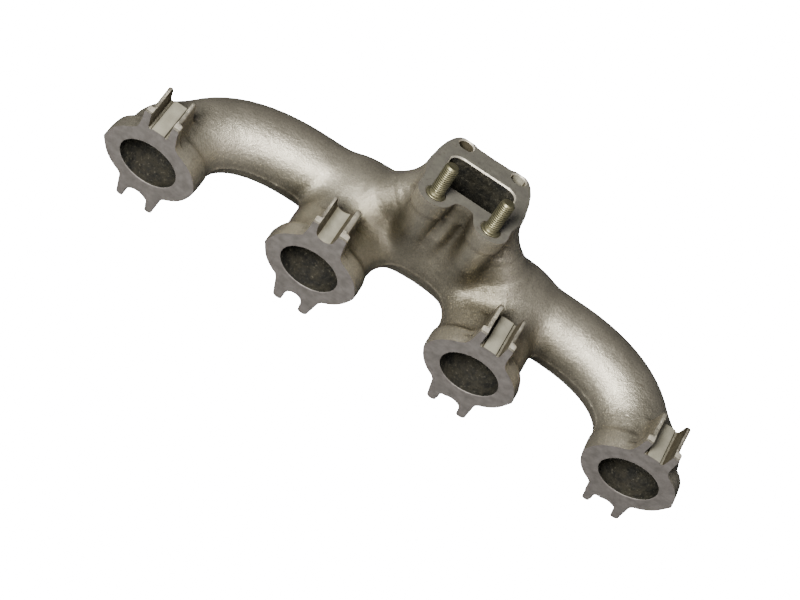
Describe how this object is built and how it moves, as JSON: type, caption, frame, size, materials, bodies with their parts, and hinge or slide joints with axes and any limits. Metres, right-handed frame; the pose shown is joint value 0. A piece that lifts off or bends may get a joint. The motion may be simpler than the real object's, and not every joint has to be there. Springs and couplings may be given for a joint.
{
  "type": "exhaust manifold",
  "caption": "Cast iron log exhaust manifold with round port flanges, forked bolt lugs and a tilted turbocharger flange carrying studs.",
  "frame": {"origin": "middle of the row of four port centres, on the plane of the port faces", "axes": "+X along the row of ports, +Y away from the cylinder head, +Z towards the turbocharger"},
  "size_m": [0.44, 0.1184, 0.1562],
  "materials": {
    "casting": "satin, fine sand-cast grain, warm grey",
    "stud": "zinc-yellow passivated thread"
  },
  "bodies": {
    "root": {"manifold_casting": "casting", "stud_left": "stud", "stud_right": "stud"}
  },
  "joints": []
}
